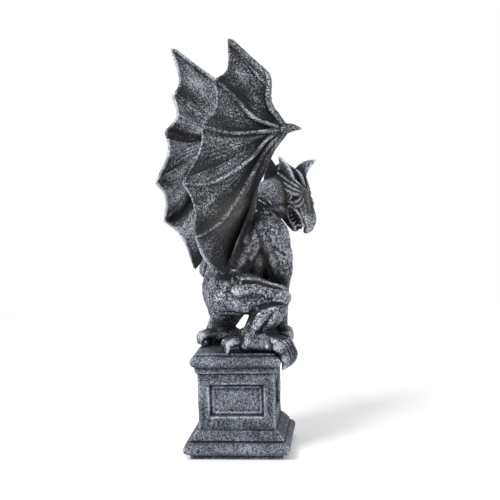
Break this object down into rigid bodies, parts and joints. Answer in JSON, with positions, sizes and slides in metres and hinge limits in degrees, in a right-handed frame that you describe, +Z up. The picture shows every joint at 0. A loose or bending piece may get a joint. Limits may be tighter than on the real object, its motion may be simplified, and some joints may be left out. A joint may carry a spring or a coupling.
{
  "type": "gargoyle statue",
  "caption": "Winged gargoyle in dark stone-finish resin crouching on a square panelled plinth, wings raised, fanged head turned aside",
  "frame": {"origin": "middle of the plinth's square underside, on the surface that the statue stands on", "axes": "+Z is up along the plinth's axis, +X is the plinth's front face, whose top edge the figure grips, +Y is the plinth's left side"},
  "size_m": [0.1224, 0.1346, 0.3065],
  "materials": {
    "plinth_stone": "Cast resin with a pebbled stone texture, charcoal with a cool light grey dry-brushed on edges and high points",
    "figure_stone": "Cast resin with a stippled hide texture, near black in the recesses and dry-brushed pale grey on muscles, folds and claws",
    "wing_stone": "Cast resin with a fine stipple, darker between the bones and dry-brushed pale grey on bones and the trailing rim"
  },
  "bodies": {
    "root": {"plinth": "plinth_stone", "gargoyle_body": "figure_stone", "wing_right": "wing_stone", "wing_left": "wing_stone"}
  },
  "joints": []
}
